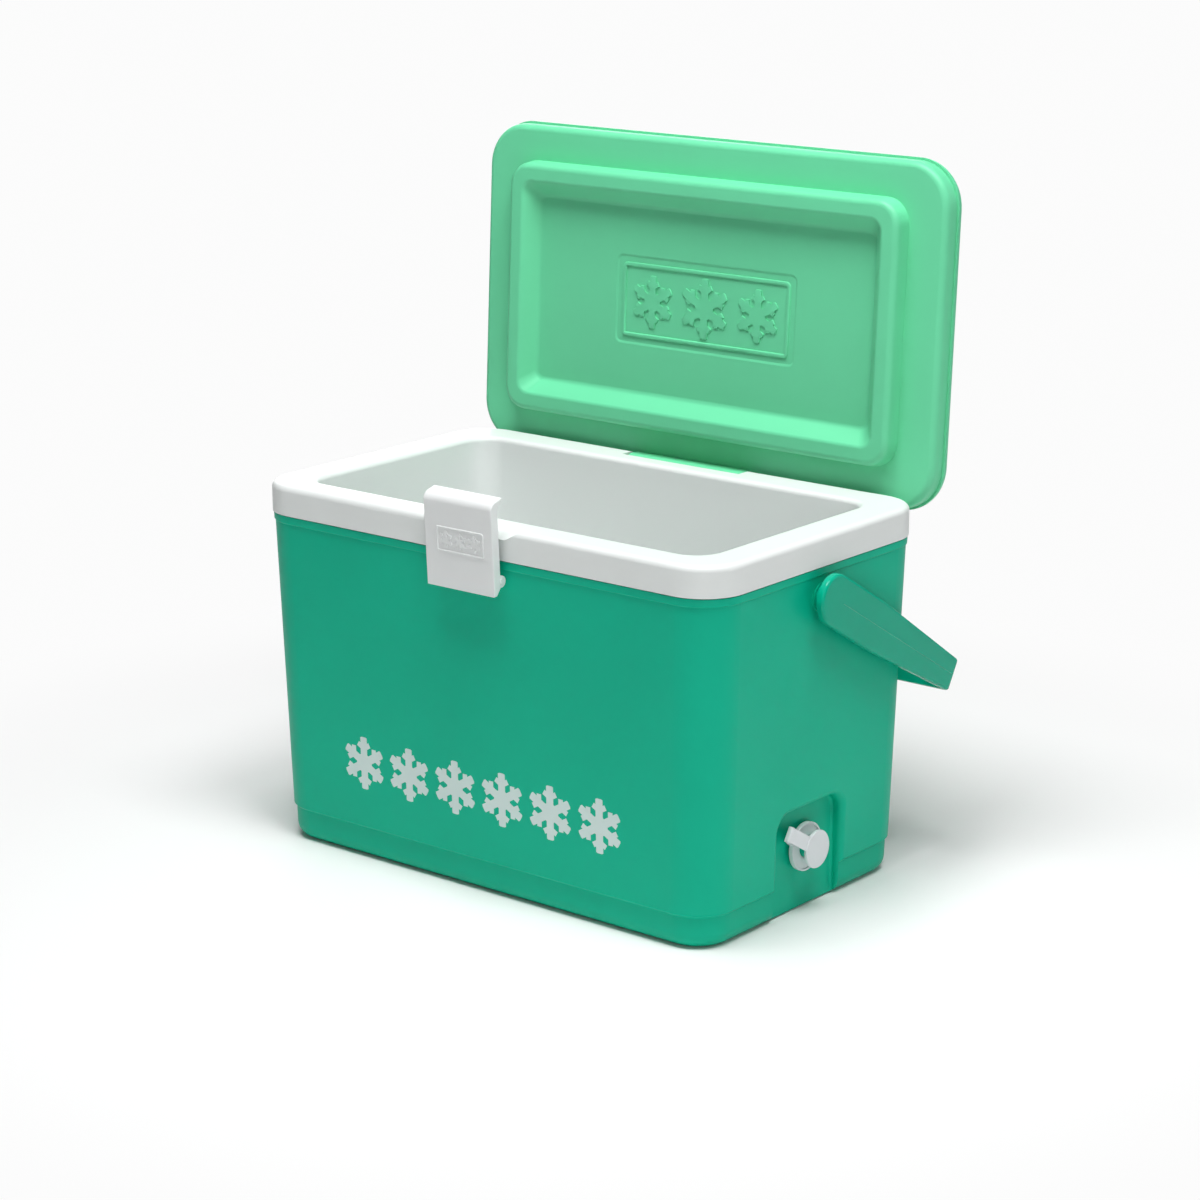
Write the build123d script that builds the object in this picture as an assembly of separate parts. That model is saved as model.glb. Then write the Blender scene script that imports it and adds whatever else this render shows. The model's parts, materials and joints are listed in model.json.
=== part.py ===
from build123d import *
import os
from math import atan, degrees

# Insulated picnic cooler box with a hinged lid, a bail handle, a front latch and a drain.
# Millimetres. X is the width, -Y the front, +Z up; the origin is the middle of the base.

# --- overall sizes -----------------------------------------------------------------------
RIM_WIDTH = 440.0
RIM_DEPTH = 264.0
BODY_HEIGHT = 286.0          # top of the white rim
RIM_HEIGHT = 23.0
RIM_RADIUS = 34.0
WALL = 2.5                   # moulded skins
FIT_GAP = 0.2                # between the foam and the skins round it
RIM_BOTTOM = BODY_HEIGHT - RIM_HEIGHT

# --- outer shell -------------------------------------------------------------------------
BASE_WIDTH = 421.0           # the draft line carried down to the floor
BASE_DEPTH = 249.0
BASE_RADIUS = 31.0
NECK_WIDTH = 437.0           # the same line at the rim
NECK_DEPTH = 261.0
NECK_RADIUS = 33.0
LEDGE_Z = 25.0
LEDGE_STEP = 2.0
BASE_FILLET = 11.0
BAND_Z = 256.0               # a slightly wider band right under the rim
BAND_FLARE = 0.9
SHELL_TOP = RIM_BOTTOM - 0.8
WALL_LEAN = (NECK_WIDTH - BASE_WIDTH) / 2 / RIM_BOTTOM

# --- tub ---------------------------------------------------------------------------------
TUB_Y = -1.75
TUB_TOP = (380.0, 206.5, 20.0)
TUB_FLOOR = (350.0, 178.0, 16.0)
FLOOR_Z = 35.0
FLOOR_FILLET = 6.0
LIP_FILLET = 4.0
RIM_FILLET = 4.5
SCOOP_DEPTH = 7.5            # finger scoop in the rim behind the latch
SCOOP_HALF = 33.0
SCOOP_RUN = 1.7              # how far each end runs out for each millimetre that it rises
SCOOP_BACK = -121.0          # where it runs out on top of the rim
SCOOP_FILLET = 3.0

# --- lid ---------------------------------------------------------------------------------
LID_GAP = 0.3                # lid to rim when shut
LID_BOTTOM = BODY_HEIGHT + LID_GAP
LID_Y = -0.4
PANEL = (440.6, 260.2, 34.5)
PANEL_RISE = 13.2            # the inner panel's upstand, up to the seam
PANEL_FILLET = 5.0
COVER = (444.0, 263.6, 36.0)
COVER_TOP = 21.7             # above LID_BOTTOM
COVER_FILLET = 7.0
CROWN = (380.0, 200.0, 30.0)
CROWN_TOP = (360.0, 180.0, 22.0)
CROWN_RISE = 5.0
PLUG_Y = -2.05
PLUG_BASE = (376.6, 201.8, 20.0)
PLUG_TIP = (373.0, 198.0, 18.5)
PLUG_HEIGHT = 14.0
PLUG_FILLET = 5.0
WELL_MOUTH = (346.0, 171.0, 10.0)
WELL_FLOOR = (324.0, 148.0, 7.0)
WELL_DEPTH = 12.0
WELL_FILLET = 5.0            # round the well's floor
MOUTH_FILLET = 3.5           # round its mouth
BADGE = (175.0, 71.0, 6.0)   # a shallow field sunk into the well's floor
BADGE_X = 4.5
BADGE_Y = -1.8
BADGE_DEPTH = 0.8

# --- hinge -------------------------------------------------------------------------------
HINGE_Y = 126.6
HINGE_Z = LID_BOTTOM - 9.0
LID_OPEN = 93.0              # degrees from shut
TONGUE_HALF = 56.0
TONGUE_RADIUS = 8.0
NOTCH_HALF = TONGUE_HALF + 1.2
NOTCH_FRONT = 116.3
NOTCH_FLOOR = HINGE_Z - 9.8
HINGE_PIN_RADIUS = 2.5
HINGE_PIN_HALF = 68.5
RUNNING_GAP = 0.06           # a pin in the piece that turns on it
PRESS_GAP = 0.02             # a pin in the piece that holds it

# --- latch -------------------------------------------------------------------------------
LATCH_Y = -135.0
LATCH_Z = 248.5
LATCH_LEAN = 3.0             # degrees the released latch leans out
LATCH_HALF = 32.5
LATCH_FACE = -143.2
LATCH_SKIN = 3.2
LATCH_DEPTH = 7.6
LATCH_BOTTOM = 238.5
LATCH_TOP = 310.4
LIP_TIP = -130.0
LIP_THICK = 2.4
LIP_DROP = 7.0               # from the top to where the hook meets the back
NOSE_FILLET = 6.5
HOOK_FILLET = 4.0
TIP_FILLET = 1.1
EDGE_FILLET = 1.0
EAR_RADIUS = 4.4
EAR_WIDTH = 5.6
CHEEK_THICK = 2.6
BRACKET_HALF = 26.0
BRACKET_DEPTH = 6.0
LATCH_PIN_RADIUS = 2.0

# --- handle ------------------------------------------------------------------------------
HANDLE_Z = 240.0
HANDLE_DROOP = 30.5          # degrees below level, towards the back
HANDLE_OUT = 232.5           # outer face of each arm
ARM_THICK = 5.5
ARM_RADIUS = 18.9
ARM_PARALLEL = 62.0
ARM_REACH = 185.0
ARM_TIP_HALF = 12.4
BAR_THICK = 6.0
HANDLE_CORNER = 7.0
HANDLE_ROUND = 2.2           # along the outer edges
HANDLE_BOSS = 9.0            # raised ring inside each arm, round the stud
HANDLE_BOSS_GAP = 0.3        # from the ring to the flange of the bush
STUD_RADIUS = 6.0
STUD_END = 208.0
BUSH_SEAT = 219.2            # the flat pad on each end wall
BUSH_PAD = 10.8
BUSH_FLANGE = 10.0
BUSH_FLANGE_THICK = 2.7
BUSH_GAP = 0.1               # under the flange
BUSH_BARREL = 8.4

# --- drain -------------------------------------------------------------------------------
DRAIN_Z = 49.0
RECESS_X = 203.5
RECESS_HALF = 40.0
RECESS_TOP = 82.0
RECESS_RADIUS = 14.0
RECESS_FILLET = 4.0
RECESS_ROUND = 5.0           # where the pocket's side walls meet the end wall
SPOUT_RADIUS = 8.0
SPOUT_BORE = 5.0
SPOUT_END = 216.7
FLANGE_RADIUS = 12.0
PAD_X = 174.0
GASKET_THICK = 2.0
FLANGE_THICK = 2.5
NUT_RADIUS = 14.0
NUT_THICK = 2.2
RING_RADIUS = 18.5
RING_THICK = 2.2
CAP_RADIUS = 14.4
CAP_THICK = 2.2
CAP_X = SPOUT_END + 0.3
PLUG_LENGTH = 12.0
FOLD_BACK = 3.4              # the tether's fold, behind the back of the cap
FOLD_GAP = 0.4               # between its two legs
STRAP_WIDTH = 11.0
STRAP_REACH = 35.0
STRAP_ANGLE = 148.0          # degrees from +Y towards +Z, seen from +X looking inwards
STRAP_THICK = 1.5

os.makedirs("parts", exist_ok=True)


def section(size, z, y=0.0, grow=0.0):
    """A rounded rectangle (width, depth, radius) at height z, grown on every side."""
    width, depth, radius = size
    return Pos(0, y, z) * RectangleRounded(width + 2 * grow, depth + 2 * grow, radius + grow)


def block(size, low, high, y=0.0, grow=0.0):
    return extrude(section(size, low, y, grow), amount=high - low)


def tapered(size_low, low, size_high, high, y=0.0, grow=0.0):
    """A drafted rounded box between two sections."""
    return loft([section(size_low, low, y, grow), section(size_high, high, y, grow)], ruled=True)


def edges_at(solid, z, tolerance=0.02):
    return solid.edges().filter_by_position(Axis.Z, z - tolerance, z + tolerance)


def rod(radius, x_from, x_to, y, z):
    """A cylinder along X."""
    middle = (x_from + x_to) / 2
    return Pos(middle, y, z) * Rot(0, 90, 0) * Cylinder(radius, abs(x_to - x_from))


def brick(x_from, x_to, y_from, y_to, z_from, z_to):
    size = (x_to - x_from, y_to - y_from, z_to - z_from)
    middle = ((x_from + x_to) / 2, (y_from + y_to) / 2, (z_from + z_to) / 2)
    return Pos(*middle) * Box(*size)


def wall_size(z, inset=0.0):
    """The drafted outside of the shell at height z."""
    t = z / RIM_BOTTOM
    width = BASE_WIDTH + (NECK_WIDTH - BASE_WIDTH) * t
    depth = BASE_DEPTH + (NECK_DEPTH - BASE_DEPTH) * t
    radius = BASE_RADIUS + (NECK_RADIUS - BASE_RADIUS) * t
    return (width - 2 * inset, depth - 2 * inset, radius - inset)


# --- shapes that several parts share -----------------------------------------------------
def shell_cavity(grow=0.0, top=SHELL_TOP):
    inset = LEDGE_STEP + WALL
    low = (BASE_WIDTH - 2 * inset, BASE_DEPTH - 2 * inset, BASE_RADIUS - inset)
    high = (NECK_WIDTH - 2 * WALL, NECK_DEPTH - 2 * WALL, NECK_RADIUS - WALL)
    cavity = tapered(low, WALL - grow, high, top, grow=grow)
    return fillet(edges_at(cavity, WALL - grow), BASE_FILLET - 2.0)


def rim_hollow(grow=0.0):
    inside = (RIM_WIDTH - 2 * WALL, RIM_DEPTH - 2 * WALL, RIM_RADIUS - WALL)
    return block(inside, SHELL_TOP + FIT_GAP, BODY_HEIGHT - WALL + grow, grow=grow)


def tub(grow=0.0, top=BODY_HEIGHT):
    body = tapered(TUB_FLOOR, FLOOR_Z - grow, TUB_TOP, top, TUB_Y, grow)
    return fillet(edges_at(body, FLOOR_Z - grow), FLOOR_FILLET + grow)


def scoop(grow=0.0):
    """A shallow cut that slopes down to the rim's front edge and runs out at each end."""
    low = BODY_HEIGHT - SCOOP_DEPTH - grow
    high = BODY_HEIGHT + 4.0
    front = -RIM_DEPTH / 2
    half = SCOOP_HALF + grow / 2
    wide = half + SCOOP_RUN * (high - low)
    ends = Polyline((-half, low), (half, low), (wide, high), (-wide, high), close=True)
    body = extrude(Plane.XZ * make_face(ends), amount=-2 * front, both=True)
    slope = (BODY_HEIGHT - low) / (SCOOP_BACK + grow - front)
    run = (high - low) / slope
    side = Polyline((front - 9, low), (front, low), (front + run, high), (front - 9, high), close=True)
    body &= extrude(Plane.YZ * make_face(side), amount=2 * SCOOP_HALF, both=True)
    creases = body.edges().filter_by(lambda e: e.center().Y > front - 1 and e.center().Z < high - 0.1)
    return fillet(creases, SCOOP_FILLET + grow)


def hinge_notch(grow=0.0):
    half = NOTCH_HALF + grow
    return brick(-half, half, NOTCH_FRONT - grow, RIM_DEPTH, NOTCH_FLOOR - grow, BODY_HEIGHT + 5)


def hinge_bosses(grow=0.0):
    reach = HINGE_PIN_HALF + WALL + grow
    radius = TONGUE_RADIUS - 1.5 + grow
    right = rod(radius, NOTCH_HALF, reach, HINGE_Y - 2.0, HINGE_Z)
    left = rod(radius, -reach, -NOTCH_HALF, HINGE_Y - 2.0, HINGE_Z)
    return right + left


def recess_outline(grow=0.0):
    """The outline of the pocket round the drain, open at the floor, as a face across X."""
    width, height = 2 * (RECESS_HALF + grow), RECESS_TOP + grow + 40.0
    return Plane.YZ * Pos(0, height / 2 - 40.0) * RectangleRounded(width, height, RECESS_RADIUS + grow)


def drain_recess(grow=0.0):
    """The pocket itself, rounded where its sides meet its back."""
    back = RECESS_X - grow
    body = Pos(back, 0, 0) * extrude(recess_outline(grow), amount=60)
    back_edges = body.edges().filter_by_position(Axis.X, back - 0.01, back + 0.01)
    return fillet(back_edges, RECESS_FILLET)


def recess_mouth():
    """The pocket again with a slab lying on the leaning end wall, so that its mouth can be rounded."""
    wall_x = BASE_WIDTH / 2
    margin = RECESS_ROUND + 2.0
    lean = degrees(atan(WALL_LEAN))
    half, top = RECESS_HALF + margin, RECESS_TOP + margin
    slab = brick(wall_x, wall_x + 12, -half, half, -20, top)
    slab = slab.rotate(Axis((wall_x, 0, 0), (0, 1, 0)), lean)
    body = slab + Pos(wall_x - 6.0, 0, 0) * extrude(recess_outline(), amount=12)
    mouth = [e for e in body.edges() if on_mouth(e.center())]
    return fillet(mouth, RECESS_ROUND)


def on_mouth(place):
    """Whether a point lies where the pocket's sides meet the end wall."""
    on_wall = abs(place.X - BASE_WIDTH / 2 - WALL_LEAN * place.Z) < 0.05
    inside = abs(place.Y) < RECESS_HALF + 0.5 and place.Z < RECESS_TOP + 0.5
    return on_wall and inside and place.Z > -19


def latch_bracket():
    """The hinge block that stands out of the front wall and carries the latch pin."""
    low, high = LATCH_Z - EAR_RADIUS, LATCH_Z + EAR_RADIUS
    bracket = brick(-BRACKET_HALF, BRACKET_HALF, LATCH_Y, LATCH_Y + BRACKET_DEPTH, low, high)
    return bracket + rod(EAR_RADIUS, -BRACKET_HALF, BRACKET_HALF, LATCH_Y, LATCH_Z)


# --- body --------------------------------------------------------------------------------
def make_outer_shell():
    stations = (
        (0.0, LEDGE_STEP),
        (LEDGE_Z, LEDGE_STEP),
        (LEDGE_Z + LEDGE_STEP, 0.0),
        (BAND_Z, 0.0),
        (BAND_Z + BAND_FLARE, -BAND_FLARE),
        (SHELL_TOP, -BAND_FLARE),
    )
    pieces = []
    for (low, inset_low), (high, inset_high) in zip(stations, stations[1:]):
        pieces.append(tapered(wall_size(low, inset_low), low, wall_size(high, inset_high), high))
    foot = fillet(edges_at(pieces[0], 0.0), BASE_FILLET)
    outside = foot
    for piece in pieces[1:]:
        outside += piece
    outside -= drain_recess()
    outside -= recess_mouth()
    shell = outside - (shell_cavity() - drain_recess(WALL))
    wall_x = NECK_WIDTH / 2 - WALL
    for side in (-1, 1):
        shell += rod(BUSH_PAD, side * (wall_x - 4.0), side * BUSH_SEAT, 0, HANDLE_Z)
        shell -= rod(BUSH_BARREL + 0.1, side * (wall_x - 20.0), side * (BUSH_SEAT + 5), 0, HANDLE_Z)
    shell += latch_bracket()
    reach = BRACKET_HALF + 1
    shell -= rod(LATCH_PIN_RADIUS + PRESS_GAP, -reach, reach, LATCH_Y, LATCH_Z)
    shell -= rod(SPOUT_RADIUS + 0.2, RECESS_X - 10, RECESS_X + 10, 0, DRAIN_Z)
    return shell


def make_inner_liner():
    rim = block((RIM_WIDTH, RIM_DEPTH, RIM_RADIUS), RIM_BOTTOM, BODY_HEIGHT)
    rim = fillet(edges_at(rim, BODY_HEIGHT), RIM_FILLET)
    hollow = rim_hollow() - scoop(WALL) - hinge_notch(WALL) - hinge_bosses()
    liner = rim - hollow
    liner += tub(WALL, BODY_HEIGHT - WALL / 2)
    liner -= tub(0.0, BODY_HEIGHT + 5.0)
    inner_edge = [e for e in edges_at(liner, BODY_HEIGHT) if abs(e.center().X) < TUB_TOP[0] / 2 + 1]
    inner_edge = [e for e in inner_edge if abs(e.center().Y - TUB_Y) < TUB_TOP[1] / 2 + 1]
    liner = fillet(inner_edge, LIP_FILLET)
    pad = rod(FLANGE_RADIUS + 4.0, PAD_X, PAD_X + 8.0, 0, DRAIN_Z)
    liner += pad & tub(WALL / 2)
    liner -= scoop()
    liner -= hinge_notch()
    reach = HINGE_PIN_HALF + 0.2
    liner -= rod(HINGE_PIN_RADIUS + PRESS_GAP, -reach, reach, HINGE_Y, HINGE_Z)
    liner -= rod(SPOUT_RADIUS + 0.2, PAD_X - 5, PAD_X + 15, 0, DRAIN_Z)
    return liner


def make_body_foam():
    foam = shell_cavity(-FIT_GAP, SHELL_TOP + 1.0) + rim_hollow(-FIT_GAP)
    foam -= drain_recess(WALL + FIT_GAP)
    foam -= tub(WALL + FIT_GAP, BODY_HEIGHT)
    foam -= scoop(WALL + FIT_GAP)
    foam -= hinge_notch(WALL + FIT_GAP)
    foam -= hinge_bosses(FIT_GAP)
    foam -= rod(SPOUT_RADIUS + 0.5, PAD_X, RECESS_X + 5, 0, DRAIN_Z)
    for side in (-1, 1):
        foam -= rod(BUSH_PAD + FIT_GAP, side * (STUD_END - 4.0), side * BUSH_SEAT, 0, HANDLE_Z)
    return foam


# --- lid, modelled shut ------------------------------------------------------------------
def panel_inside(grow=0.0):
    """The space over the inner panel: the tray, and the trough inside the plug."""
    base = LID_BOTTOM
    tray = block(PANEL, base + WALL - grow, base + PANEL_RISE, LID_Y, grow - WALL)
    low = base - PLUG_HEIGHT + WALL - grow
    trough = tapered(PLUG_TIP, low, PLUG_BASE, base + WALL + 0.5, PLUG_Y, grow - WALL)
    well_top = base - PLUG_HEIGHT + WELL_DEPTH + WALL - grow
    well = tapered(WELL_MOUTH, base - PLUG_HEIGHT, WELL_FLOOR, well_top, PLUG_Y, WALL - grow)
    return tray + (trough - well)


def make_lid_panel():
    base = LID_BOTTOM
    panel = block(PANEL, base, base + PANEL_RISE, LID_Y)
    panel = fillet(edges_at(panel, base), PANEL_FILLET)
    plug = tapered(PLUG_TIP, base - PLUG_HEIGHT, PLUG_BASE, base + 0.5, PLUG_Y)
    tip = base - PLUG_HEIGHT
    well = tapered(WELL_MOUTH, tip, WELL_FLOOR, tip + WELL_DEPTH, PLUG_Y)
    well = fillet(edges_at(well, tip + WELL_DEPTH), WELL_FILLET)
    plug = fillet(edges_at(plug, tip), PLUG_FILLET) - well
    mouth = [e for e in edges_at(plug, tip) if abs(e.center().X) < WELL_MOUTH[0] / 2 + 1]
    mouth = [e for e in mouth if abs(e.center().Y - PLUG_Y) < WELL_MOUTH[1] / 2 + 1]
    plug = fillet(mouth, MOUTH_FILLET)
    panel += plug
    panel -= panel_inside()
    floor_z = tip + WELL_DEPTH
    panel -= Pos(BADGE_X, 0, 0) * block(BADGE, floor_z - 1.0, floor_z + BADGE_DEPTH, BADGE_Y)
    tongue = rod(TONGUE_RADIUS, -TONGUE_HALF, TONGUE_HALF, HINGE_Y, HINGE_Z)
    tongue += brick(
        -TONGUE_HALF, TONGUE_HALF, HINGE_Y - TONGUE_RADIUS, HINGE_Y + 2.0, HINGE_Z, base + WALL - 0.5
    )
    panel += tongue
    reach = TONGUE_HALF + 1
    panel -= rod(HINGE_PIN_RADIUS + RUNNING_GAP, -reach, reach, HINGE_Y, HINGE_Z)
    return panel


def cover_inside(low, grow=0.0):
    top = LID_BOTTOM + COVER_TOP
    space = block(COVER, low, top - WALL + grow, LID_Y, grow - WALL)
    space = fillet(edges_at(space, top - WALL + grow), COVER_FILLET - WALL + grow)
    crown_top = top + CROWN_RISE - WALL + grow
    return space + tapered(CROWN, top - WALL - 1.0, CROWN_TOP, crown_top, LID_Y, grow)


def make_lid_cover():
    low = LID_BOTTOM + PANEL_RISE + 0.3
    top = LID_BOTTOM + COVER_TOP
    cover = block(COVER, low, top, LID_Y)
    cover = fillet(edges_at(cover, top), COVER_FILLET)
    rise = tapered(CROWN, top - 0.5, CROWN_TOP, top + CROWN_RISE, LID_Y, WALL)
    rise = fillet(edges_at(rise, top + CROWN_RISE), 3.0)
    cover += rise
    return cover - cover_inside(low - 1.0)


def make_lid_foam():
    seam = LID_BOTTOM + PANEL_RISE
    neck = block(PANEL, seam - 0.5, seam + 0.5, LID_Y, -WALL - FIT_GAP)
    return panel_inside(-FIT_GAP) + neck + cover_inside(seam + FIT_GAP, -FIT_GAP)


# --- latch, modelled upright -------------------------------------------------------------
def make_latch():
    """A hollow plate with a lip at the top and an ear at each lower corner for its pin."""
    back = LATCH_FACE + LATCH_DEPTH
    nose = LATCH_TOP - LIP_DROP
    corner = LATCH_TOP - 3.0
    front = [(LATCH_FACE, LATCH_BOTTOM), (LATCH_FACE, corner), (LIP_TIP, LATCH_TOP)]
    side = Polyline(
        *front, (LIP_TIP, LATCH_TOP - LIP_THICK), (back, nose), (back, LATCH_Z),
        (back, LATCH_Z - EAR_RADIUS), (LATCH_FACE + LATCH_SKIN, LATCH_BOTTOM), close=True,
    )
    plate = extrude(Plane.YZ * make_face(side), amount=LATCH_HALF, both=True)
    along = plate.edges().filter_by(Axis.X)
    plate = fillet(along.sort_by_distance((0, LATCH_FACE, corner))[0], NOSE_FILLET)
    hook = plate.edges().filter_by(Axis.X).sort_by_distance((0, back, nose))[0]
    plate = fillet(hook, HOOK_FILLET)
    tip = plate.edges().filter_by(Axis.X).sort_by_distance((0, LIP_TIP, LATCH_TOP))[:2]
    plate = fillet(tip, TIP_FILLET)
    rim = [e for e in plate.edges() if abs(abs(e.center().X) - LATCH_HALF) < 0.01 and outside_latch(e)]
    plate = fillet(rim, EDGE_FILLET)
    for end in (-1, 1):
        outer, inner = end * LATCH_HALF, end * (LATCH_HALF - EAR_WIDTH)
        plate += rod(EAR_RADIUS, outer, inner, LATCH_Y, LATCH_Z)
    reach = LATCH_HALF - CHEEK_THICK
    hollow = brick(-reach, reach, LATCH_FACE + LATCH_SKIN, 0, LATCH_Z + EAR_RADIUS + 2.0, nose - 3.0)
    reach = LATCH_HALF - EAR_WIDTH
    hollow += brick(-reach, reach, LATCH_FACE + LATCH_SKIN, 0, LATCH_BOTTOM - 1, LATCH_Z + EAR_RADIUS + 3.0)
    plate -= hollow
    reach = LATCH_HALF + 1
    return plate - rod(LATCH_PIN_RADIUS + RUNNING_GAP, -reach, reach, LATCH_Y, LATCH_Z)


def outside_latch(edge):
    """Whether an end edge of the plate lies on its front or its top, where it is rounded."""
    place = edge.center()
    return place.Y < LATCH_FACE + NOSE_FILLET or place.Z > LATCH_TOP - LIP_THICK - 0.1


# --- handle, modelled level, pointing backwards ------------------------------------------
def make_handle():
    """A U-shaped strap: a flat arm at each end of the box and a flat bar behind it."""
    start = (0.0, ARM_RADIUS)
    outline = Polyline(
        start, (ARM_PARALLEL, ARM_RADIUS), (ARM_REACH, ARM_TIP_HALF),
        (ARM_REACH, -ARM_TIP_HALF), (ARM_PARALLEL, -ARM_RADIUS), (0.0, -ARM_RADIUS),
    )
    outline += ThreePointArc((0.0, -ARM_RADIUS), (-ARM_RADIUS, 0.0), start)
    body = extrude(Plane.YZ * make_face(outline), amount=HANDLE_OUT, both=True)
    corners = body.edges().filter_by(Axis.Z).sort_by(Axis.Y)[-2:]
    body = fillet(corners, HANDLE_CORNER)
    inside_x = HANDLE_OUT - ARM_THICK
    outer = [e for e in body.edges() if abs(e.center().X) > inside_x or e.center().Y > ARM_REACH - 1]
    body = fillet(outer, HANDLE_ROUND)
    inside = brick(-inside_x, inside_x, -2 * ARM_RADIUS, ARM_REACH - BAR_THICK, -30, 30)
    inside = fillet(inside.edges().filter_by(Axis.Z).sort_by(Axis.Y)[-2:], HANDLE_CORNER - ARM_THICK)
    body -= inside
    boss_end = BUSH_SEAT + BUSH_GAP + BUSH_FLANGE_THICK + HANDLE_BOSS_GAP
    for side in (-1, 1):
        body += rod(HANDLE_BOSS, side * (inside_x + 1), side * boss_end, 0, 0)
        body += rod(STUD_RADIUS, side * inside_x, side * STUD_END, 0, 0)
    return Pos(0, 0, HANDLE_Z) * Rot(-HANDLE_DROOP, 0, 0) * body


def make_handle_bush(side):
    flange_x = BUSH_SEAT + BUSH_GAP
    bush = rod(BUSH_FLANGE, side * flange_x, side * (flange_x + BUSH_FLANGE_THICK), 0, HANDLE_Z)
    bush += rod(BUSH_BARREL, side * (flange_x + 0.1), side * (STUD_END - 0.5), 0, HANDLE_Z)
    bush -= rod(STUD_RADIUS + RUNNING_GAP, side * (STUD_END - 5), side * (BUSH_SEAT + 5), 0, HANDLE_Z)
    return bush


# --- drain -------------------------------------------------------------------------------
def make_drain_spout():
    flange_x = PAD_X - GASKET_THICK - 0.2
    spout = rod(SPOUT_RADIUS, flange_x - 1, SPOUT_END, 0, DRAIN_Z)
    spout += rod(FLANGE_RADIUS, flange_x - FLANGE_THICK, flange_x, 0, DRAIN_Z)
    return spout - rod(SPOUT_BORE, flange_x - 10, SPOUT_END + 5, 0, DRAIN_Z)


def make_washer(inner, outer, x_from, thickness):
    ring = rod(outer, x_from, x_from + thickness, 0, DRAIN_Z)
    return ring - rod(inner, x_from - 1, x_from + thickness + 1, 0, DRAIN_Z)


def strap_leg(points):
    """A strip whose side view is given as (distance from the drain's centre, x)."""
    face = make_face(Polyline(*[(x, distance) for distance, x in points], close=True))
    strip = extrude(Plane.XY * face, amount=STRAP_WIDTH / 2, both=True)
    return Pos(0, 0, DRAIN_Z) * Rot(STRAP_ANGLE, 0, 0) * strip


def make_drain_ring():
    """The flat ring behind the cap, with the inner leg of the tether."""
    x_from = RECESS_X + NUT_THICK + 0.4
    ring = make_washer(SPOUT_RADIUS + 0.3, RING_RADIUS, x_from, RING_THICK)
    ring += make_washer(RING_RADIUS - 1.4, RING_RADIUS, x_from, RING_THICK + 1.0)
    root, low = RING_RADIUS - 3.0, x_from + 0.3
    fold_x = CAP_X - FOLD_BACK - FOLD_GAP / 2
    leg = strap_leg([
        (root, low), (RING_RADIUS + 2.0, low), (STRAP_REACH, fold_x - STRAP_THICK),
        (STRAP_REACH, fold_x), (RING_RADIUS, low + STRAP_THICK), (root, low + STRAP_THICK),
    ])
    return ring + leg


def make_drain_cap():
    cap = rod(CAP_RADIUS, CAP_X, CAP_X + CAP_THICK, 0, DRAIN_Z)
    cap = fillet(cap.edges().filter_by(GeomType.CIRCLE).sort_by(Axis.X)[-1], 0.8)
    cap += rod(SPOUT_BORE - 0.1, CAP_X - PLUG_LENGTH, CAP_X + 0.5, 0, DRAIN_Z)
    root, low = CAP_RADIUS - 3.0, CAP_X + 0.4
    fold_x = CAP_X - FOLD_BACK + FOLD_GAP / 2
    cap += strap_leg([
        (root, low), (STRAP_REACH, fold_x), (STRAP_REACH, fold_x + STRAP_THICK), (root, low + STRAP_THICK),
    ])
    return cap


def main():
    hinge = Axis((0, HINGE_Y, HINGE_Z), (1, 0, 0))
    latch_pivot = Axis((0, LATCH_Y, LATCH_Z), (1, 0, 0))
    nut_x = RECESS_X + 0.2
    gasket_x = PAD_X - GASKET_THICK - 0.1
    parts = {
        "outer_shell": make_outer_shell(),
        "inner_liner": make_inner_liner(),
        "body_foam": make_body_foam(),
        "lid_panel": make_lid_panel().rotate(hinge, -LID_OPEN),
        "lid_cover": make_lid_cover().rotate(hinge, -LID_OPEN),
        "lid_foam": make_lid_foam().rotate(hinge, -LID_OPEN),
        "hinge_pin": rod(HINGE_PIN_RADIUS, -HINGE_PIN_HALF, HINGE_PIN_HALF, HINGE_Y, HINGE_Z),
        "latch": make_latch().rotate(latch_pivot, LATCH_LEAN),
        "latch_pin": rod(LATCH_PIN_RADIUS, -LATCH_HALF - 0.6, LATCH_HALF + 0.6, LATCH_Y, LATCH_Z),
        "handle": make_handle(),
        "handle_bush_left": make_handle_bush(-1),
        "handle_bush_right": make_handle_bush(1),
        "drain_spout": make_drain_spout(),
        "drain_gasket": make_washer(SPOUT_RADIUS + 0.1, FLANGE_RADIUS - 0.5, gasket_x, GASKET_THICK),
        "drain_nut": make_washer(SPOUT_RADIUS + 0.05, NUT_RADIUS, nut_x, NUT_THICK),
        "drain_ring": make_drain_ring(),
        "drain_cap": make_drain_cap(),
    }
    for name, solid in parts.items():
        export_step(solid, f"parts/{name}.step")


main()
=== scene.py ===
import json
import math

import bmesh
import bpy
from mathutils import Matrix, Vector


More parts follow.
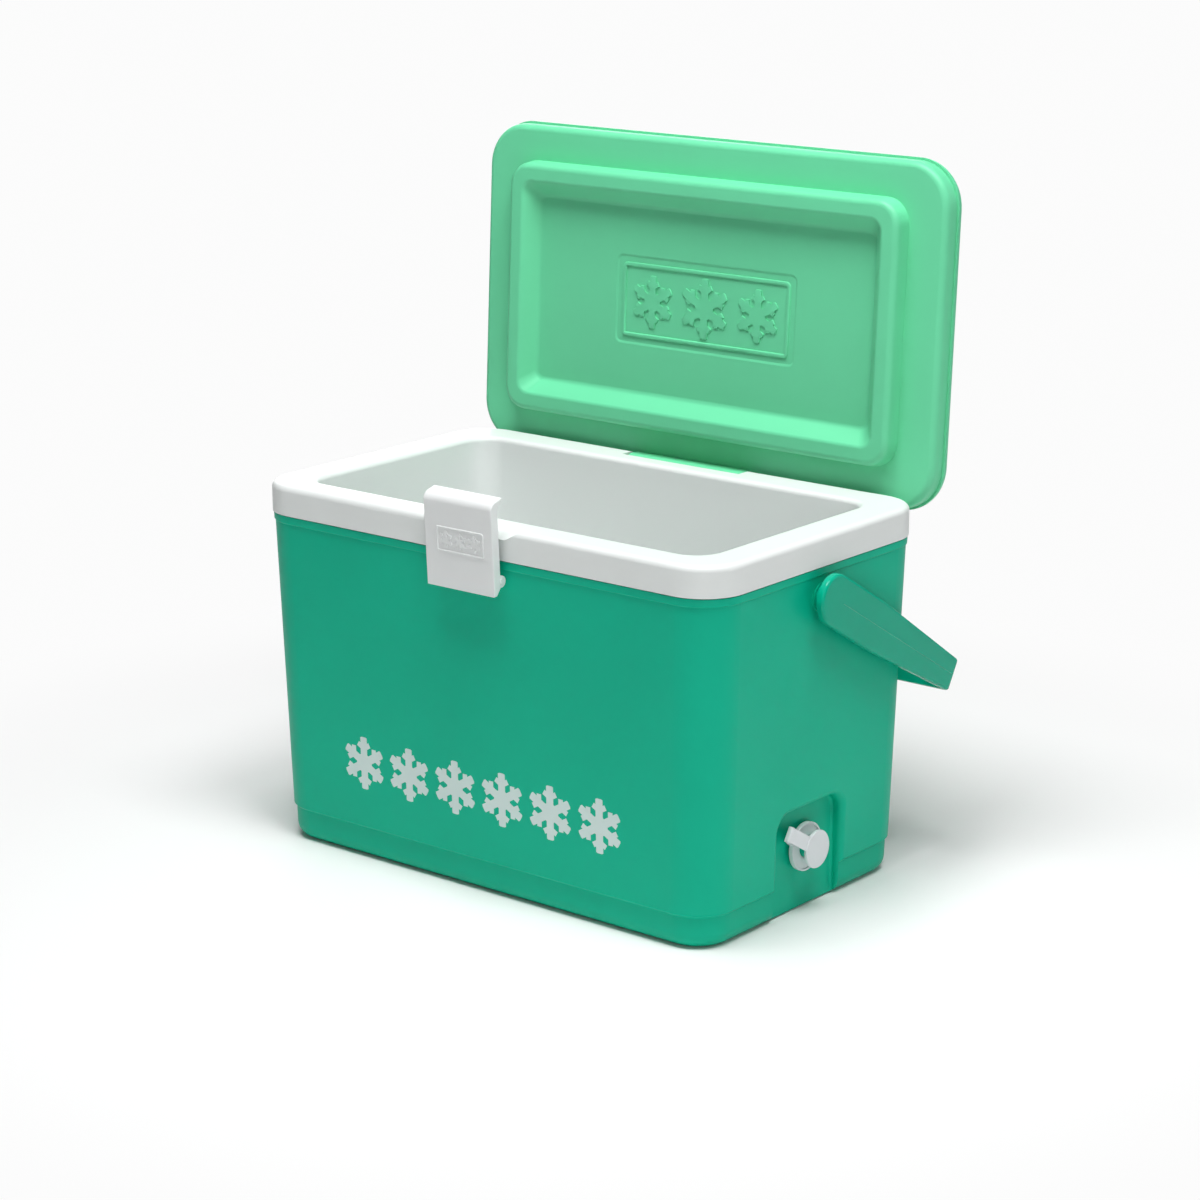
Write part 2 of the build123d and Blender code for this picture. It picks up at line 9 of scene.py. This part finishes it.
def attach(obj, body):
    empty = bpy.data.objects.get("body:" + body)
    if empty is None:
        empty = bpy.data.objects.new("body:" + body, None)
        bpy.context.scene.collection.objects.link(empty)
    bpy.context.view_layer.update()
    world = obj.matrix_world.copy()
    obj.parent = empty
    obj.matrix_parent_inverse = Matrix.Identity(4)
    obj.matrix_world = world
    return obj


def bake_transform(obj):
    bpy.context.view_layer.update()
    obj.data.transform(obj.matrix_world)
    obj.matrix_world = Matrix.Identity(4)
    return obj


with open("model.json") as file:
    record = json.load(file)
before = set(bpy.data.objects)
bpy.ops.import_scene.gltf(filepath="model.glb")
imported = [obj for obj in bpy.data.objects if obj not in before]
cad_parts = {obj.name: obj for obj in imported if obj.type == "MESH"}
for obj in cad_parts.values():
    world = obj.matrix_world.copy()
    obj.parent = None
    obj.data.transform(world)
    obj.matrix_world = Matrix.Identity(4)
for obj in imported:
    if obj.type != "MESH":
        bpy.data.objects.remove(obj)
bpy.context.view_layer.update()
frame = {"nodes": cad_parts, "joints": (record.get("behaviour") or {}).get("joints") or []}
NODES = frame["nodes"]
MM = 0.001

# --- places: the joints' from the frame, and how the moving bodies stand at rest ---------------
JOINTS = {joint["name"]: joint for joint in frame["joints"]}
HINGE = Vector(JOINTS["lid_hinge"]["pos_m"])
LATCH_PIVOT = Vector(JOINTS["latch_pivot"]["pos_m"])
HANDLE_PIVOT = Vector(JOINTS["handle_swing"]["pos_m"])
LID_OPEN = JOINTS["lid_hinge"]["range_deg"][1]       # degrees
LATCH_LEAN = 3.0             # degrees, out from upright
HANDLE_DROOP = 30.5          # degrees, below level
WALL_FOOT_Y = -0.1245        # the front wall's plane, carried down to the floor
WALL_LEAN = math.degrees(math.atan(0.006 / 0.263))


def turn_x(degrees):
    return Matrix.Rotation(math.radians(degrees), 4, "X")


def turned(pivot, degrees):
    """A turn about X through a pivot, in the frame's metres."""
    return Matrix.Translation(pivot) @ turn_x(degrees) @ Matrix.Translation(-pivot)


# how each body stands at rest, from the upright or shut place it is described in
FRONT_WALL = Matrix.Translation((0, WALL_FOOT_Y, 0)) @ turn_x(WALL_LEAN)
LID_REST = turned(HINGE, -LID_OPEN)
LATCH_REST = turned(LATCH_PIVOT, LATCH_LEAN)
HANDLE_REST = Matrix.Translation(HANDLE_PIVOT) @ turn_x(-HANDLE_DROOP)
FACE_OUT = turn_x(90)        # local X along the box, local Y up, local Z out of the front

# --- camera ------------------------------------------------------------------------------
CAMERA_AZIMUTH = 39.29       # degrees round from the front, towards +X
CAMERA_ELEVATION = 15.88
CAMERA_ROLL = -0.16
CAMERA_DISTANCE = 2.3925
CAMERA_TARGET = Vector((0.0, 0.0, 0.1749))
LENS, SENSOR = 94.04, 36.0   # focal length and sensor width, mm
SHIFT = (0.0119, 0.0270)

# --- colours, linear ---------------------------------------------------------------------
SHELL_GREEN = (0.001, 0.465, 0.288)
LID_MINT = (0.155, 0.690, 0.380)
HANDLE_GREEN = (0.001, 0.390, 0.245)
FLASH_GREEN = (0.060, 0.480, 0.330)
RIM_WHITE = (0.78, 0.81, 0.80)
TRIM_WHITE = (0.83, 0.85, 0.85)
CAP_WHITE = (0.74, 0.77, 0.79)
PRINT_GREY = (0.66, 0.79, 0.765)
# painted shade: the foam shows only in the gap under the rim, so it is coloured a dark grey-green instead of
# its own cream, to make that gap read as a shade line
FOAM_PAINTED_SHADE = (0.40, 0.43, 0.39)
GASKET_BLACK = (0.02, 0.02, 0.02)
STEEL_DARK = (0.50, 0.51, 0.52)
STEEL_PALE = (0.68, 0.69, 0.70)
PAPER = (0.90, 0.90, 0.90)

# --- finish; noise scales are per metre ----------------------------------------------------
PLASTIC_IOR = 1.49
FLOW_SCALE = 9.0
SCUFF_SCALE = 38.0
GLOSS_SPREAD = 0.03
GRAIN_DEPTH = 0.0004         # metres
NOISE_LOW, NOISE_HIGH = 0.3, 0.7           # most of a noise lies between these
STEEL_LINES = (20.0, 2000.0, 2000.0)
CREASE = 35.0                # degrees; a sharper edge than this is shaded as an edge


# --- materials ---------------------------------------------------------------------------
def noise(nodes, links, vector, scale, detail=None):
    texture = nodes.new("ShaderNodeTexNoise")
    texture.inputs["Scale"].default_value = scale
    if detail is not None:
        texture.inputs["Detail"].default_value = detail
    links.new(vector, texture.inputs["Vector"])
    return texture.outputs["Fac"]


def shades(nodes, links, factor, dark, pale, start=0.0, end=1.0):
    """A colour that runs from dark to pale as a factor goes from start to end."""
    ramp = nodes.new("ShaderNodeValToRGB")
    for stop, position, colour in zip(ramp.color_ramp.elements, (start, end), (dark, pale)):
        stop.position = position
        stop.color = (*colour, 1)
    links.new(factor, ramp.inputs["Fac"])
    return ramp.outputs["Color"]


def span(nodes, links, factor, low, high, start=0.0, end=1.0):
    """A number that runs from low to high as a factor goes from start to end."""
    map_range = nodes.new("ShaderNodeMapRange")
    for socket, value in (("From Min", start), ("From Max", end), ("To Min", low), ("To Max", high)):
        map_range.inputs[socket].default_value = value
    links.new(factor, map_range.inputs["Value"])
    return map_range.outputs["Result"]


def new_material(name):
    material = bpy.data.materials.new(name)
    material.use_nodes = True
    return material, material.node_tree.nodes, material.node_tree.links


def plastic(name, colour, roughness, grain, mottle, specular=0.3, grain_scale=1400.0):
    """Moulded plastic: a fine grain in the surface, faint flow mottling in the colour and gloss."""
    material, nodes, links = new_material(name)
    shader = nodes["Principled BSDF"]
    shader.inputs["IOR"].default_value = PLASTIC_IOR
    shader.inputs["Specular IOR Level"].default_value = specular
    where = nodes.new("ShaderNodeTexCoord").outputs["Object"]
    # broad, soft flow marks
    flow = noise(nodes, links, where, FLOW_SCALE, detail=3.0)
    darker = [c * (1 - mottle) for c in colour]
    lighter = [min(1.0, c * (1 + mottle)) for c in colour]
    colours = shades(nodes, links, flow, darker, lighter, NOISE_LOW, NOISE_HIGH)
    links.new(colours, shader.inputs["Base Color"])
    # gloss that varies a little with the handling
    scuff = noise(nodes, links, where, SCUFF_SCALE, detail=6.0)
    dull, shiny = roughness + GLOSS_SPREAD, roughness - GLOSS_SPREAD
    gloss = span(nodes, links, scuff, shiny, dull, NOISE_LOW, NOISE_HIGH)
    links.new(gloss, shader.inputs["Roughness"])
    # spark-eroded mould grain
    bump = nodes.new("ShaderNodeBump")
    bump.inputs["Strength"].default_value = grain
    bump.inputs["Distance"].default_value = GRAIN_DEPTH
    links.new(noise(nodes, links, where, grain_scale, detail=2.0), bump.inputs["Height"])
    links.new(bump.outputs["Normal"], shader.inputs["Normal"])
    return material


def steel(name):
    """Drawn steel rod with fine lines along X."""
    material, nodes, links = new_material(name)
    shader = nodes["Principled BSDF"]
    shader.inputs["Metallic"].default_value = 1.0
    stretch = nodes.new("ShaderNodeMapping")
    stretch.inputs["Scale"].default_value = STEEL_LINES
    links.new(nodes.new("ShaderNodeTexCoord").outputs["Object"], stretch.inputs["Vector"])
    lines = noise(nodes, links, stretch.outputs["Vector"], scale=1.0)
    links.new(shades(nodes, links, lines, STEEL_DARK, STEEL_PALE), shader.inputs["Base Color"])
    links.new(span(nodes, links, lines, low=0.25, high=0.42), shader.inputs["Roughness"])
    return material


def dress(node, material):
    mesh = NODES[node].data
    mesh.materials.clear()
    mesh.materials.append(material)


SHELL = plastic("shell_green", SHELL_GREEN, 0.42, grain=0.10, mottle=0.03, specular=0.15)
LID = plastic("lid_mint", LID_MINT, 0.40, grain=0.08, mottle=0.02)
GRIP = plastic("handle_green", HANDLE_GREEN, 0.22, grain=0.03, mottle=0.04, specular=0.20)
FLASH = plastic("handle_flash", FLASH_GREEN, 0.45, grain=0.05, mottle=0.05)
WHITE = plastic("liner_white", RIM_WHITE, 0.36, grain=0.03, mottle=0.01)
TRIM = plastic("trim_white", TRIM_WHITE, 0.32, grain=0.02, mottle=0.01)
CAP = plastic("cap_white", CAP_WHITE, 0.45, grain=0.05, mottle=0.015)
PRINT = plastic("print_grey", PRINT_GREY, 0.50, grain=0.05, mottle=0.03)
# painted shade: this dark grey-green foam stands in for the shade in the gap under the rim
FOAM = plastic("foam_painted_shade", FOAM_PAINTED_SHADE, 0.85, grain=0.6, mottle=0.06, grain_scale=500.0)
RUBBER = plastic("gasket_black", GASKET_BLACK, 0.60, grain=0.20, mottle=0.10)
STEEL = steel("pin_steel")

for node, material in {
    "outer_shell": SHELL,
    "inner_liner": WHITE,
    "body_foam": FOAM,
    "lid_panel": LID,
    "lid_cover": LID,
    "lid_foam": FOAM,
    "hinge_pin": STEEL,
    "latch_pin": TRIM,
    "latch": TRIM,
    "handle": GRIP,
    "handle_bush_left": GRIP,
    "handle_bush_right": GRIP,
    "drain_spout": SHELL,
    "drain_gasket": RUBBER,
    "drain_nut": SHELL,
    "drain_ring": CAP,
    "drain_cap": CAP,
}.items():
    dress(node, material)


# --- shapes ------------------------------------------------------------------------------
def new_object(name, build, material):
    """Closes a bmesh into an object in the scene."""
    bmesh.ops.recalc_face_normals(build, faces=build.faces)
    mesh = bpy.data.meshes.new(name)
    build.to_mesh(mesh)
    build.free()
    mesh.shade_smooth()
    mesh.materials.append(material)
    thing = bpy.data.objects.new(name, mesh)
    bpy.context.scene.collection.objects.link(thing)
    return thing


def new_piece(name, build, material):
    piece = new_object(name, build, material)
    piece.data.set_sharp_from_angle(angle=math.radians(CREASE))
    return piece


def riding_piece(name, build, material, body, place):
    """A piece that rides on a body, moved from the axes it is drawn in to its place at rest."""
    piece = new_piece(name, build, material)
    piece.data.transform(place)
    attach(piece, body)


def loft(build, sections):
    """The faces between closed sections that have equally many points."""
    for section, after in zip(sections, sections[1:]):
        for k in range(len(section)):
            far = (k + 1) % len(section)
            build.faces.new((section[k], section[far], after[far], after[k]))


def raised(build, outline, middle, low, high, bevel=0.0):
    """A flat shape standing from low to high along local Z, its top edge rounded off when a bevel is given.
    Millimetres.
    """
    bottom, top = (
        [build.verts.new(((middle[0] + x) * MM, (middle[1] + y) * MM, height * MM)) for x, y in outline]
        for height in (low, high)
    )
    build.faces.new(bottom)
    upper_face = build.faces.new(top)
    loft(build, [bottom, top])
    if bevel:
        bmesh.ops.bevel(
            build, geom=list(upper_face.edges), offset=bevel * MM, offset_type="OFFSET",
            segments=3, profile=0.5, affect="EDGES",
        )


def rotated(u, v, turn):
    return (u * math.cos(turn) - v * math.sin(turn), u * math.sin(turn) + v * math.cos(turn))


def snowflake(radius, bold):
    """The outline of a plain six-armed snowflake with one pair of twigs on each arm."""
    arm = 0.125 * radius * bold
    hub = 0.42 * radius
    root, twig, thick = 0.54 * radius, 0.20 * radius, 0.16 * radius * bold
    slope = math.sqrt(3) / 2
    out = (root + twig / 2, arm + slope * twig)
    tip = (out[0] + slope * thick, out[1] - thick / 2)
    back = (tip[0] - (tip[1] - arm) / slope / 2, arm)
    end = [(0.97 * radius, arm), (radius, 0.6 * arm)]
    half = [(hub - arm / math.sqrt(3), arm), (root, arm), out, tip, back] + end
    both = [(u, -v) for u, v in half] + half[::-1]
    return [rotated(u, v, math.radians(60 * n + 30)) for n in range(6) for u, v in both]


def rounded_rectangle(width, height, radius, steps):
    """Points round a rectangle with rounded corners, each with the direction that points outwards there."""
    points = []
    for n, (x, y) in enumerate(((1, 1), (-1, 1), (-1, -1), (1, -1))):
        for step in range(steps + 1):
            turn = math.radians(90 * (n + step / steps))
            out = (math.cos(turn), math.sin(turn))
            centre = (x * (width / 2 - radius), y * (height / 2 - radius))
            points.append(((centre[0] + radius * out[0], centre[1] + radius * out[1]), out))
    return points


def frame_bar(build, size, middle, profile):
    """A closed bar that runs round a rounded rectangle; its section is (outwards, up) pairs. Millimetres."""
    rings = []
    for point, out in rounded_rectangle(*size):
        ring = []
        for across, up in profile:
            x = middle[0] + point[0] + across * out[0]
            y = middle[1] + point[1] + across * out[1]
            ring.append(build.verts.new((x * MM, y * MM, up * MM)))
        rings.append(ring)
    loft(build, rings + rings[:1])


def frame_ridge(build, size, thick, low, high, flat):
    """A ridge round a rounded rectangle, with a flat top and rounded shoulders. Millimetres."""
    profile = [(-0.5 * thick, low)]
    for step in range(5):
        turn = math.radians(90 - 90 * step / 4)
        across = -flat / 2 - (0.5 - flat / 2) * math.sin(turn)
        profile.append((across * thick, high - 0.8 * (high - low) * (1 - math.cos(turn))))
    profile += [(-across, up) for across, up in reversed(profile)]
    frame_bar(build, size, (0.0, 0.0), profile)


# Sizes below are in millimetres. A rounded rectangle is (width, height, corner, steps round a corner).
PRINT_COUNT, PRINT_PITCH, PRINT_HEIGHT, PRINT_RADIUS, PRINT_BOLD = 6, 46.2, 78.5, 21.0, 1.25
BADGE_BOLD = 1.1
LID_FIELD_MIDDLE = (4.7, -1.8, 285.1)      # on the sunk field's floor, with the lid shut
LID_FIELD_EDGE = (173.2, 69.2, 5.1, 8)
LID_FRAME = (158.6, 55.5, 2.2, 3)
LID_FLAKES = ((-51.0, 20.5), (0.0, 23.5), (51.0, 20.5))       # (x, radius)
LATCH_FACE_MIDDLE = (1.6, -143.2, 275.4)   # on the latch's face, with the latch upright
LATCH_FRAME = (43.6, 17.6, 1.0, 3)
LATCH_FLAKES = ((-13.5, 6.4), (0.0, 6.4), (13.5, 6.4))
STRAP_OUT, STRAP_REACH, STRAP_CORNER, STRAP_START = 232.5, 185.0, 7.0, 8.0
TETHER_TURN = 148.0                        # degrees from +Y; the tether leaves the drain this way
TETHER_HALF_WIDTH = 5.7
DRAIN_HEIGHT = 49.0
FOLD_INNER, FOLD_OUTER, FOLD_CORNER = 33.0, 35.5, 1.1         # distances along the tether
RING_SIDE, CAP_SIDE = 211.5, 215.55        # the fold's two faces, along X
RING_FLARE, CAP_FLARE = 0.5, 0.25          # how much each face stands out at the fold's inner end


def make_front_print():
    """A row of six snowflakes printed along the foot of the front."""
    build = bmesh.new()
    first = -PRINT_PITCH * (PRINT_COUNT - 1) / 2
    for n in range(PRINT_COUNT):
        middle = (first + PRINT_PITCH * n, PRINT_HEIGHT)
        raised(build, snowflake(PRINT_RADIUS, PRINT_BOLD), middle, low=-0.06, high=0.08)
    riding_piece("front_print", build, PRINT, "body", FRONT_WALL @ FACE_OUT)


def make_lid_badge():
    """A raised frame and three raised snowflakes on the sunk field of the lid's well."""
    build = bmesh.new()
    frame_ridge(build, LID_FRAME, thick=3.2, low=-0.2, high=1.1, flat=0.6)
    # the sloped edge of the sunk field, from its floor up to the well's
    slope = [(-0.9, -0.2), (-0.9, 0.0), (0.9, 0.79), (1.2, 0.79), (1.2, -0.2)]
    frame_bar(build, LID_FIELD_EDGE, (-0.2, 0.0), slope)
    for x, radius in LID_FLAKES:
        raised(build, snowflake(radius, BADGE_BOLD), (x, 0.0), low=-0.2, high=0.9, bevel=0.25)
    # on a shut lid, what stands on the field reaches down
    place = LID_REST @ Matrix.Translation(Vector(LID_FIELD_MIDDLE) * MM) @ turn_x(180)
    riding_piece("lid_badge", build, LID, "lid", place)


def make_latch_badge():
    """A small frame and three small snowflakes raised on the latch's face."""
    build = bmesh.new()
    frame_ridge(build, LATCH_FRAME, thick=1.3, low=-0.1, high=0.7, flat=0.4)
    for x, radius in LATCH_FLAKES:
        raised(build, snowflake(radius, BADGE_BOLD), (x, 0.0), low=-0.1, high=0.65, bevel=0.15)
    place = LATCH_REST @ Matrix.Translation(Vector(LATCH_FACE_MIDDLE) * MM) @ FACE_OUT
    riding_piece("latch_badge", build, TRIM, "latch", place)


def make_handle_line():
    """The fine parting line that runs along the middle of the strap, round both corners."""
    build = bmesh.new()
    path = [((STRAP_OUT, STRAP_START), (1.0, 0.0))]
    for step in range(9):
        turn = math.radians(90 * step / 8)
        u, v = math.cos(turn), math.sin(turn)
        x = STRAP_OUT - STRAP_CORNER + STRAP_CORNER * u
        y = STRAP_REACH - STRAP_CORNER + STRAP_CORNER * v
        path.append(((x, y), (u, v)))
    path += [((-x, y), (-u, v)) for (x, y), (u, v) in reversed(path)]
    profile = ((-0.35, -0.12), (-0.16, 0.13), (0.16, 0.13), (0.35, -0.12))      # (across, out)
    rings = []
    for (x, y), (u, v) in path:
        corners = [((x + out * u) * MM, (y + out * v) * MM, across * MM) for across, out in profile]
        rings.append([build.verts.new(corner) for corner in corners])
    loft(build, rings)
    build.faces.new(rings[0])
    build.faces.new(rings[-1])
    riding_piece("handle_parting_line", build, FLASH, "handle", HANDLE_REST)


def make_tether_fold():
    """The end of the tether, where its two legs are one strip folded on itself."""
    build = bmesh.new()
    turn = math.radians(TETHER_TURN)
    along = Vector((0, math.cos(turn), math.sin(turn)))
    across = Vector((1, 0, 0)).cross(along)
    middle = Vector((0, 0, DRAIN_HEIGHT))
    straight = FOLD_OUTER - FOLD_CORNER
    # the section in (distance along the tether, x): out along the ring's leg and back along the cap's
    profile = [(FOLD_INNER, RING_SIDE - RING_FLARE), (straight, RING_SIDE)]
    quarter = [(math.cos(math.radians(30 * step)), math.sin(math.radians(30 * step))) for step in range(4)]
    for u, v in quarter[1:]:
        profile.append((straight + FOLD_CORNER * v, RING_SIDE + FOLD_CORNER - FOLD_CORNER * u))
    for u, v in quarter:
        profile.append((straight + FOLD_CORNER * u, CAP_SIDE - FOLD_CORNER + FOLD_CORNER * v))
    profile.append((FOLD_INNER, CAP_SIDE + CAP_FLARE))
    sides = []
    for side in (-TETHER_HALF_WIDTH, TETHER_HALF_WIDTH):
        points = [middle + along * distance + across * side + Vector((x, 0, 0)) for distance, x in profile]
        sides.append([build.verts.new(point * MM) for point in points])
    loft(build, sides)
    for side in sides:
        build.faces.new(side)
    piece = new_piece("tether_fold", build, CAP)
    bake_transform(piece)


# --- stage, light and camera -------------------------------------------------------------
SWEEP_HEIGHT = 0.0015        # metres
SWEEP_START, SWEEP_FULL = 0.27, 0.75       # where the sweep begins and where it is fully white
SWEEP_FLAT, SWEEP_CURVE, SWEEP_TOP = 7.0, 3.0, 9.0
SWEEP_WHITE = 0.97
DISC_STEPS = 96


def stage_disc(name, rings, material, filled=False):
    """A surface of revolution about Z from (radius, height) rings; it isn't part of the object."""
    build = bmesh.new()
    turns = [2 * math.pi * n / DISC_STEPS for n in range(DISC_STEPS)]
    loops = []
    for radius, height in rings:
        loops.append([build.verts.new((radius * math.cos(t), radius * math.sin(t), height)) for t in turns])
    loft(build, loops)
    if filled:
        build.faces.new(loops[0])
    disc = new_object(name, build, material)
    return disc


def paper_material(name):
    material, nodes, _ = new_material(name)
    shader = nodes["Principled BSDF"]
    shader.inputs["Base Color"].default_value = (*PAPER, 1)
    shader.inputs["Roughness"].default_value = 0.9
    return material


def sweep_material(name):
    """White light that fades in with the distance from the middle of the base."""
    material, nodes, links = new_material(name)
    nodes.remove(nodes["Principled BSDF"])
    distance = nodes.new("ShaderNodeVectorMath")
    distance.operation = "LENGTH"
    links.new(nodes.new("ShaderNodeTexCoord").outputs["Object"], distance.inputs[0])
    fade = nodes.new("ShaderNodeMapRange")
    fade.interpolation_type = "SMOOTHSTEP"
    fade.inputs["From Min"].default_value = SWEEP_START
    fade.inputs["From Max"].default_value = SWEEP_FULL
    links.new(distance.outputs["Value"], fade.inputs["Value"])
    clear = nodes.new("ShaderNodeBsdfTransparent")
    white = nodes.new("ShaderNodeEmission")
    white.inputs["Color"].default_value = (1, 1, 1, 1)
    white.inputs["Strength"].default_value = SWEEP_WHITE
    mix = nodes.new("ShaderNodeMixShader")
    links.new(fade.outputs["Result"], mix.inputs["Fac"])
    links.new(clear.outputs["BSDF"], mix.inputs[1])
    links.new(white.outputs["Emission"], mix.inputs[2])
    links.new(mix.outputs["Shader"], nodes["Material Output"].inputs["Surface"])
    return material


def make_floor():
    """A pale floor, and over it a white sweep that fades in away from the object."""
    stage_disc("floor", [(0.5, 0.0), (2.0, 0.0), (14.0, 0.0)], paper_material("floor_paper"), filled=True)
    rings = [(SWEEP_START, SWEEP_HEIGHT), (1.5, SWEEP_HEIGHT), (SWEEP_FLAT, SWEEP_HEIGHT)]
    for step in range(1, 9):
        turn = math.radians(90 * step / 8)
        radius = SWEEP_FLAT + SWEEP_CURVE * math.sin(turn)
        rings.append((radius, SWEEP_HEIGHT + SWEEP_CURVE * (1 - math.cos(turn))))
    rings.append((SWEEP_FLAT + SWEEP_CURVE, SWEEP_TOP))
    sweep = stage_disc("sweep", rings, sweep_material("sweep_white"))
    # it whitens the view and leaves the light on the object to the lamps
    sweep.visible_diffuse = False
    sweep.visible_glossy = False
    sweep.visible_transmission = False
    sweep.visible_shadow = False


# name: place in metres, width and height in metres, watts
LAMPS = {
    "overhead": ((0.0, -0.45, 2.3), (0.8, 0.8), 35.0),
    "overhead_right": ((0.9, -0.3, 2.2), (0.8, 0.8), 25.0),
    "front": ((0.0, -2.4, 1.0), (1.2, 1.2), 1.0),
    "right_front": ((1.7, -1.6, 1.1), (1.2, 1.2), 8.0),
    "right_back": ((1.7, 1.6, 1.1), (1.2, 1.2), 5.0),
    "left_back": ((-1.7, 1.6, 1.1), (1.2, 1.2), 6.0),
}
BACK_BOARD = ((-1.9, 2.3, 0.9), (3.0, 1.8), 35.0)
LAMP_AIM = Vector((0.0, 0.0, 0.2))
WORLD_STRENGTH = 0.03


def area_light(name, place, size, power):
    data = bpy.data.lights.new(name, "AREA")
    data.shape = "RECTANGLE"
    data.size, data.size_y = size
    data.energy = power
    light = bpy.data.objects.new(name, data)
    light.visible_camera = False
    bpy.context.scene.collection.objects.link(light)
    light.location = place
    light.rotation_euler = (LAMP_AIM - Vector(place)).to_track_quat("-Z", "Y").to_euler()
    return light


def make_lights():
    world = bpy.data.worlds.new("studio")
    bpy.context.scene.world = world
    world.use_nodes = True
    background = world.node_tree.nodes["Background"]
    background.inputs["Color"].default_value = (1, 1, 1, 1)
    background.inputs["Strength"].default_value = WORLD_STRENGTH
    for name, lamp in LAMPS.items():
        area_light(name, *lamp)
    # a white board behind, seen only in the gloss of what faces up
    area_light("back_board", *BACK_BOARD).visible_diffuse = False


def make_camera():
    azimuth, elevation = math.radians(CAMERA_AZIMUTH), math.radians(CAMERA_ELEVATION)
    back = Vector((
        math.sin(azimuth) * math.cos(elevation),
        -math.cos(azimuth) * math.cos(elevation),
        math.sin(elevation),
    ))
    data = bpy.data.cameras.new("camera")
    data.sensor_width = SENSOR
    data.lens = LENS
    data.shift_x, data.shift_y = SHIFT
    camera = bpy.data.objects.new("camera", data)
    bpy.context.scene.collection.objects.link(camera)
    camera.location = CAMERA_TARGET + back * CAMERA_DISTANCE
    aim = (-back).to_track_quat("-Z", "Y")
    roll = Matrix.Rotation(math.radians(CAMERA_ROLL), 4, "Z")
    camera.rotation_euler = (aim.to_matrix().to_4x4() @ roll).to_euler()
    bpy.context.scene.camera = camera


make_front_print()
make_lid_badge()
make_latch_badge()
make_handle_line()
make_tether_fold()
make_floor()
make_lights()
make_camera()
bpy.context.scene.view_settings.view_transform = "Standard"
